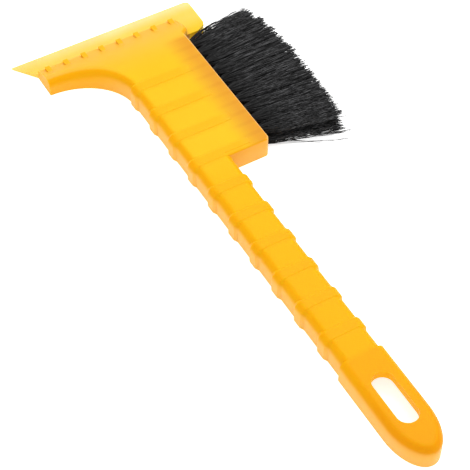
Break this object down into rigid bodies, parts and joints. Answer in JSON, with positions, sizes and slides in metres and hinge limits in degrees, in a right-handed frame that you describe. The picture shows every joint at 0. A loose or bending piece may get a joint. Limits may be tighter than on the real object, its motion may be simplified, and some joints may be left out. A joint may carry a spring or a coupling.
{
  "type": "windshield ice scraper",
  "caption": "One-piece translucent plastic ice scraper with a wide wedge blade, ice teeth, a snow brush along one side of the head, a banded grip and a hanging slot.",
  "frame": {"origin": "middle of the tool's footprint, on the plane of the open back's rim", "axes": "+X from the scraping edge to the end of the handle, +Y towards the tips of the brush, +Z from the open back to the top face"},
  "size_m": [0.278, 0.1156, 0.0119],
  "materials": {
    "amber_plastic": "translucent yellow-orange moulded plastic with a soft gloss",
    "black_bristle": "black nylon filament with a slight sheen",
    "anchor_steel": "plain flat steel strip"
  },
  "bodies": {
    "root": {"scraper_body": "amber_plastic", "tuft_anchors": "anchor_steel", "tuft_lower_01": "black_bristle", "tuft_lower_02": "black_bristle", "tuft_lower_03": "black_bristle", "tuft_lower_04": "black_bristle", "tuft_lower_05": "black_bristle", "tuft_lower_06": "black_bristle", "tuft_lower_07": "black_bristle", "tuft_lower_08": "black_bristle", "tuft_lower_09": "black_bristle", "tuft_lower_10": "black_bristle", "tuft_lower_11": "black_bristle", "tuft_upper_01": "black_bristle", "tuft_upper_02": "black_bristle", "tuft_upper_03": "black_bristle", "tuft_upper_04": "black_bristle", "tuft_upper_05": "black_bristle", "tuft_upper_06": "black_bristle", "tuft_upper_07": "black_bristle", "tuft_upper_08": "black_bristle", "tuft_upper_09": "black_bristle", "tuft_upper_10": "black_bristle"}
  },
  "joints": []
}
